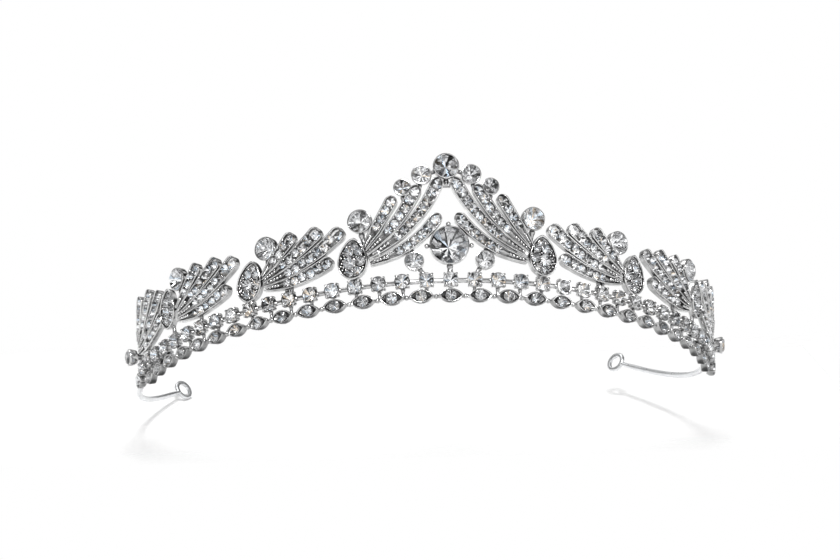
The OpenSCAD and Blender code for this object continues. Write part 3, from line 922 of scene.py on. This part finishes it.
def finish_posts(node, posts):
    shape = Shape()
    for post in posts:
        add_post(shape, *post)
    finish_piece(shape, node + "_soldered", [solder], [node])


def lower_edge(s):
    """Height of the lower rail's top edge at s, above its axis."""
    r = (MARQUISE_LEN ** 2 + MARQUISE_H ** 2) / (4 * MARQUISE_H)
    u = abs(s - MARQUISE_PITCH * round(s / MARQUISE_PITCH))
    if u >= MARQUISE_LEN / 2:
        return LINK_T / 2
    return math.sqrt(r * r - u * u) - r + MARQUISE_H / 2


CUP_R = CUP_D / 2 + CUP_WALL
CUP_TOP = RAIL_GAP + CUP_R
# Posts run this far into what they join; most stand behind the castings' faces
BITE, CUP_BITE = 0.15, 0.1
RAIL_POST_R, THIN_POST_R, STALK_POST_R, STOUT_POST_R = 0.35, 0.45, 0.5, 0.6
POST_OUT = -1.0
LEAST_POST = 0.2
rail_posts = []
for k in range(-LAST_CUP, LAST_CUP + 1):
    s = k * CUP_PITCH
    low, high = lower_edge(s), RAIL_GAP - CUP_R
    if high - low > LEAST_POST:
        ends = (s, low - BITE), (s, high + BITE)
        rail_posts.append((1, *ends, RAIL_POST_R, -LOWER_INSET - 0.2))
finish_posts("rail_posts", rail_posts)
finish_posts("stalk_posts", [
    (side, foot, (p[0], p[1] - STALK_D / 2 - BEZEL_WALL + BITE), STALK_POST_R, POST_OUT)
    for p, foot in zip(STALK_PLACES, STALK_FEET) for side in SIDES
])
BRIDGE_H, BRIDGE_OUT = 24.9, -1.85
finish_posts("crest_bridge", [
    (1, (-1.9, BRIDGE_H), (1.9, BRIDGE_H), STOUT_POST_R, BRIDGE_OUT, 1.0),
    (1, (0, BRIDGE_H), (0, TOP_H - TOP_D / 2), STOUT_POST_R, BRIDGE_OUT),
])
CREST_POSTS = (
    ((2.65, 27.6), (3.2, 27.4)), ((5.7, 24.6), (5.95, 23.6)), ((9.45, 22.3), (9.3, 20.4)),
)
finish_posts("crest_side_posts", [
    (side, *ends, THIN_POST_R, POST_OUT) for side in SIDES for ends in CREST_POSTS
])
finish_posts("centre_post", [
    (
        1, (0, CUP_TOP - CUP_BITE), (0, CENTRE_H - CENTRE_D / 2 - BEZEL_WALL + BITE),
        STOUT_POST_R, POST_OUT,
    )
])
SIDE_POSTS = (((5.6, 4.6), (6.6, 5.9)), ((8.0, 9.55), (8.2, 10.8)))
finish_posts("side_posts", [
    (side, *ends, THIN_POST_R, POST_OUT) for side in SIDES for ends in SIDE_POSTS
])
# A strut stands on the cup nearest to STRUT_IN from the wing's root, under its lowest feather
STRUT_IN, STRUT_BITE, STRUT_SHIFT = 6.5, 0.3, 0.6
PEAR_STRUT = (74.6, CUP_TOP - CUP_BITE), (74.9, 7.4)
struts = []
for side in SIDES:
    for w in (1, 2, 3):
        root, feather = WING_ROOTS[w], WING_FEATHERS[w][3]
        s = CUP_PITCH * math.floor((root[0] - STRUT_IN) / CUP_PITCH + 0.5)
        (tip_x, _), (root_x, _), _, _ = feather
        u = (root[0] + root_x - s) / (root_x - tip_x)
        top = feather_point(root, feather, u)[1] - half_width(u, feather) + STRUT_BITE
        for shift in ((-STRUT_SHIFT, STRUT_SHIFT) if w == 1 else (0,)):
            ends = (s + shift, CUP_TOP - CUP_BITE), (s + shift, top)
            struts.append((side, *ends, THIN_POST_R, POST_OUT))
    struts.append((side, *PEAR_STRUT, THIN_POST_R, POST_OUT))
finish_posts("wing_struts", struts)

links = Shape()
gap = CUP_PITCH - 2 * CUP_R
for k in range(-LAST_CUP, LAST_CUP):
    link_site = band_site((k + 0.5) * CUP_PITCH, RAIL_GAP)
    middle = -CUP_DEPTH * CUP_D + 0.4
    path = [(x * gap, 0, middle) for x in (-0.56, -0.35, 0.0, 0.35, 0.56)]
    rod = tube(path, [0.56, 0.54, 0.52, 0.54, 0.56], sides=12, flat=[0.6] * len(path))
    links.add(*rod, link_site)
finish_piece(links, "upper_rail_links_rounded", [setting], ["upper_rail_links"])

links = Shape()
gap = MARQUISE_PITCH - MARQUISE_LEN
for m in range(-LAST_MARQUISE, LAST_MARQUISE):
    link_site = band_site((m + 0.5) * MARQUISE_PITCH, 0, -LOWER_INSET - MARQUISE_DEPTH / 2)
    path = [(x * gap, 0, 0) for x in (-0.6, -0.42, 0.42, 0.6)]
    links.add(*tube(path, [0.42, 0.36, 0.36, 0.42], sides=10), link_site)
    links.add(*bead(gap / 2, sides=16, rows=10), link_site)
finish_piece(links, "lower_rail_links_beaded", [setting], ["lower_rail_links"])

# The three beads stand at the bezel's sides and top, each with a thin collar
BEAD_R, BEAD_OUT = 0.55, -0.55
beads = Shape()
reach = CENTRE_D / 2 + BEZEL_WALL + 0.5
for a in (0, 90, 180):
    bead_site = band_site(0, CENTRE_H)
    points, faces = bead(BEAD_R, sides=16, rows=10)
    x, y = reach * math.cos(math.radians(a)), reach * math.sin(math.radians(a))
    beads.add(np.array(points) + (x, y, BEAD_OUT), faces, bead_site)
    collar = [(0.34, -0.2), (0.42, -0.26), (0.5, -0.2), (0.42, -0.12)]
    points, faces = ring_solid(collar, sides=16)
    beads.add(np.array(points) + (x, y, BEAD_OUT), faces, bead_site)
finish_piece(beads, "centre_beads_cast", [setting], ["centre_beads"])

# ---------------------------------------------------------------- arms


def arm_shape(side):
    """The wire behind the last cups, its bend, and the flattened ring at its end."""
    free_s, bend_r, bend_angle, rise, eyelet_turn = ARM_BENDS[side]
    a = turn(free_s)
    arm_z = upper_z - ARM_DROP
    path = []
    for i in range(13):
        s = ARM_START + (free_s - ARM_START) * i / 12
        x, y = plan(s)
        path.append((x - ARM_INSET * math.sin(turn(s)), y + ARM_INSET * math.cos(turn(s)), arm_z))
    start = np.array(path[-1])
    run = np.array([math.cos(a), math.sin(a), 0.0])
    lift = math.radians(rise)
    inward = np.array([
        -math.sin(a) * math.cos(lift), math.cos(a) * math.cos(lift), math.sin(lift)
    ])
    steps = 56
    for i in range(1, steps + 1):
        t = math.radians(bend_angle) * i / steps
        path.append(start + bend_r * (math.sin(t) * run + (1 - math.cos(t)) * inward))
    count = len(path)
    flat = [1 - 0.3 * max(0.0, (i - count + 5) / 4) for i in range(count)]
    shape = Shape()
    mirror = np.array([side, 1, 1])
    shift = np.array([0, -mid_y, 0])
    points, faces = tube(path, WIRE_R, sides=16, flat=flat)
    shape.add((np.array(points) + shift) * mirror, faces)
    b = math.radians(bend_angle - eyelet_turn)
    along = math.cos(b) * run + math.sin(b) * inward
    across = -math.sin(b) * run + math.cos(b) * inward
    centre = np.array(path[-1]) + (EYELET_R - EYELET_BITE) * along
    half = EYELET_T / 2
    section = [
        (EYELET_HOLE_R + 0.12, -half * 0.9), (EYELET_HOLE_R + 0.35, -half),
        (EYELET_R - 0.35, -half), (EYELET_R - 0.1, -half * 0.75), (EYELET_R, -half * 0.3),
        (EYELET_R, half * 0.3), (EYELET_R - 0.1, half * 0.75), (EYELET_R - 0.35, half),
        (EYELET_HOLE_R + 0.35, half), (EYELET_HOLE_R + 0.12, half * 0.9),
        (EYELET_HOLE_R + 0.02, half * 0.4), (EYELET_HOLE_R + 0.02, -half * 0.4),
    ]
    ring_points_mm, ring_faces = ring_solid(section, sides=64)
    axes = np.array([along, np.cross(across, along), across])
    placed = np.array(ring_points_mm) @ axes + centre
    shape.add((placed + shift) * mirror, ring_faces)
    return shape


for side in SIDES:
    node = SIDE_NAMES[side] + "_arm"
    finish_piece(arm_shape(side), node + "_drawn", [arm_metal], [node], 50.0)

# ---------------------------------------------------------------- camera
# It stands a little left of the middle and looks up at the band
AZIMUTH, ELEVATION, ROLL = math.radians(-6.04), math.radians(-19.78), math.radians(-3.11)
DISTANCE = 500 * MM
TARGET = Vector((0.0, -mid_y * MM, lower_z * MM))
SENSOR = 36.0
LENS = 99.64
SHIFT_X, SHIFT_Y = -0.0377, 0.0154

back = Vector((
    math.sin(AZIMUTH) * math.cos(ELEVATION),
    -math.cos(AZIMUTH) * math.cos(ELEVATION),
    math.sin(ELEVATION),
))
right = Vector((math.cos(AZIMUTH), math.sin(AZIMUTH), 0.0))
up = back.cross(right)
camera_x = math.cos(ROLL) * right + math.sin(ROLL) * up
camera_y = -math.sin(ROLL) * right + math.cos(ROLL) * up
camera_data = bpy.data.cameras.new("camera")
camera_data.sensor_width = SENSOR
camera_data.lens = LENS
camera_data.shift_x, camera_data.shift_y = SHIFT_X, SHIFT_Y
camera_data.clip_start, camera_data.clip_end = 0.01, 10.0
camera = bpy.data.objects.new("camera", camera_data)
bpy.context.scene.collection.objects.link(camera)
camera.matrix_world = Matrix((
    (camera_x.x, camera_y.x, back.x, 0.0),
    (camera_x.y, camera_y.y, back.y, 0.0),
    (camera_x.z, camera_y.z, back.z, 0.0),
    (0.0, 0.0, 0.0, 1.0),
))
camera.location = TARGET + back * DISTANCE
bpy.context.scene.camera = camera

# ---------------------------------------------------------------- light
scene = bpy.context.scene
scene.view_settings.view_transform = "Standard"
world = bpy.data.worlds.new("studio")
scene.world = world
world.use_nodes = True
tree = world.node_tree
room = tree.nodes["Background"]
# The room that the metal and the stones mirror: pale panels with dark gaps between them
where = tree.nodes.new("ShaderNodeTexCoord")
panels = tree.nodes.new("ShaderNodeTexNoise")
panels.inputs["Scale"].default_value = 3.2
panels.inputs["Detail"].default_value = 1.0
tree.links.new(where.outputs["Generated"], panels.inputs["Vector"])
level = spread(tree, panels.outputs["Fac"], 0.02, 0.85, 0.45, 0.58)
tree.links.new(level, room.inputs["Strength"])
room.inputs["Color"].default_value = (1.0, 1.0, 1.0, 1.0)
backdrop = tree.nodes.new("ShaderNodeBackground")
backdrop.inputs["Color"].default_value = (1.0, 1.0, 1.0, 1.0)
backdrop.inputs["Strength"].default_value = 1.0
paths = tree.nodes.new("ShaderNodeLightPath")
choose = tree.nodes.new("ShaderNodeMixShader")
tree.links.new(paths.outputs["Is Camera Ray"], choose.inputs["Fac"])
tree.links.new(room.outputs["Background"], choose.inputs[1])
tree.links.new(backdrop.outputs["Background"], choose.inputs[2])
tree.links.new(choose.outputs["Shader"], tree.nodes["World Output"].inputs["Surface"])


BAND_MIDDLE = Vector((0.0, 0.0, 0.01))


def softbox(name, direction, distance, width, height, power):
    """A rectangular lamp in that direction from the band, turned towards it."""
    lamp = bpy.data.lights.new(name, "AREA")
    lamp.shape = "RECTANGLE"
    lamp.size, lamp.size_y = width, height
    lamp.energy = power
    thing = bpy.data.objects.new(name, lamp)
    scene.collection.objects.link(thing)
    d = Vector(direction).normalized()
    thing.location = BAND_MIDDLE + d * distance
    thing.rotation_mode = "QUATERNION"
    thing.rotation_quaternion = d.to_track_quat("Z", "Y")


softbox("key", (-0.05, -0.9, 0.42), distance=0.6, width=0.12, height=0.12, power=2.4)
softbox("overhead", (-0.3, -0.1, 0.95), distance=0.6, width=0.3, height=0.3, power=0.8)
softbox("side", (0.9, -0.6, 0.0), distance=0.8, width=0.15, height=0.45, power=0.8)

# ---------------------------------------------------------------- floor


def paper(name, near, far, sides):
    """Pale card. Low cameras look through it, and it fades away outside its middle patch.

    near, far and sides hold where it fades, front, back and across, in millimetres.
    """
    m, tree, shader = material(name)
    tone = spread(tree, noise(tree, scale=60.0), 0.94, 0.96)
    tint = mix_colour(tree, tone, (0.9, 0.9, 0.9), (0.96, 0.96, 0.96))
    tree.links.new(tint, shader.inputs["Base Color"])
    shader.inputs["Roughness"].default_value = 0.9
    shader.inputs["Specular IOR Level"].default_value = 0.1
    shader.inputs["Emission Color"].default_value = (1.0, 1.0, 1.0, 1.0)
    shader.inputs["Emission Strength"].default_value = 0.07

    def join(operation, first, second=None):
        node = tree.nodes.new("ShaderNodeMath")
        node.operation = operation
        tree.links.new(first, node.inputs[0])
        if second is not None:
            tree.links.new(second, node.inputs[1])
        return node.outputs["Value"]

    where = tree.nodes.new("ShaderNodeTexCoord")
    split = tree.nodes.new("ShaderNodeSeparateXYZ")
    tree.links.new(where.outputs["Object"], split.inputs["Vector"])
    across = join("ABSOLUTE", split.outputs["X"])
    front = spread(tree, split.outputs["Y"], 1.0, 0.0, near[0] * MM, near[1] * MM)
    back = spread(tree, split.outputs["Y"], 0.0, 1.0, far[0] * MM, far[1] * MM)
    side = spread(tree, across, 0.0, 1.0, sides[0] * MM, sides[1] * MM)
    outside = join("MAXIMUM", join("MAXIMUM", front, back), side)
    sight = tree.nodes.new("ShaderNodeLightPath")
    unseen = join("MULTIPLY", outside, sight.outputs["Is Camera Ray"])
    facing = tree.nodes.new("ShaderNodeNewGeometry")
    clear = tree.nodes.new("ShaderNodeBsdfTransparent")
    pick = tree.nodes.new("ShaderNodeMixShader")
    tree.links.new(join("MAXIMUM", unseen, facing.outputs["Backfacing"]), pick.inputs["Fac"])
    tree.links.new(shader.outputs["BSDF"], pick.inputs[1])
    tree.links.new(clear.outputs["BSDF"], pick.inputs[2])
    tree.links.new(pick.outputs["Shader"], tree.nodes["Material Output"].inputs["Surface"])
    return m


def add_floor(name, corners, card):
    """A flat card, which is scenery and not part of the object."""
    mesh = bpy.data.meshes.new(name)
    mesh.from_pydata([tuple(c * MM for c in p) for p in corners], [], [(0, 1, 2, 3)])
    mesh.materials.append(card)
    floor = bpy.data.objects.new(name, mesh)
    scene.collection.objects.link(floor)


lean_card = paper("lean_card_paper", (20, 48), (70, 105), (80, 130))
level_card = paper("level_card_paper", (-320, -60), (30, 320), (60, 320))
# The card that the tiara leans over, resting on its eyelets, and the level that it can stand on
SLOPE, BEHIND_BAND, CARD_GAP = 0.69, 30, 0.05
touch = min(
    point[2] - SLOPE * point[1]
    for node in ("left_arm", "right_arm") for island in island_points(node) for point in island
    if point[1] > BEHIND_BAND
)
add_floor("lean_card", [
    (x, y, SLOPE * y + touch - CARD_GAP)
    for x, y in ((-400, -300), (400, -300), (400, 260), (-400, 260))
], lean_card)
add_floor("level_card", [
    (x, y, -CARD_GAP) for x, y in ((-500, -500), (500, -500), (500, 500), (-500, 500))
], level_card)
